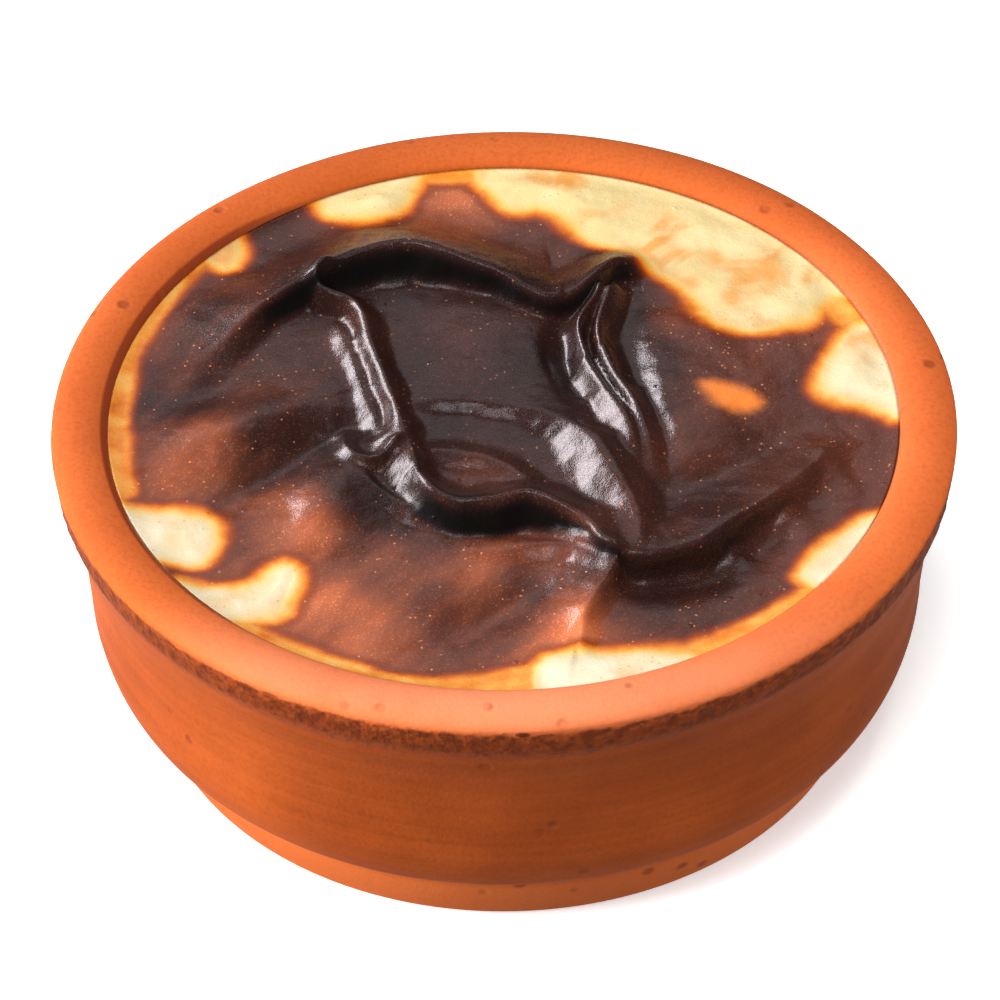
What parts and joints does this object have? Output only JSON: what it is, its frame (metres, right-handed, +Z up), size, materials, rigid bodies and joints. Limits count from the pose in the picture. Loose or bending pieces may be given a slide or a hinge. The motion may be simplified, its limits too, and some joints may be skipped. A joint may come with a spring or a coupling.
{
  "type": "baked rice pudding in a clay bowl",
  "caption": "Rice pudding baked in its own round unglazed clay bowl, filled level with the rolled rim, with a wrinkled dark brown skin.",
  "frame": {"origin": "centre of the bowl's flat base, on the surface that it stands on", "axes": "+Z up through the middle of the bowl, -Y towards the front, +X to the right"},
  "size_m": [0.12, 0.12, 0.048],
  "materials": {
    "terracotta": "unglazed orange-red clay, matt, with faint turning rings, fine pits and a rough band under the rim; thin dark glaze inside",
    "baked_milk": "dark caramelised milk skin with a soft sheen, amber edges and patches of cream pudding"
  },
  "bodies": {
    "root": {"bowl": "terracotta", "pudding": "baked_milk"}
  },
  "joints": []
}
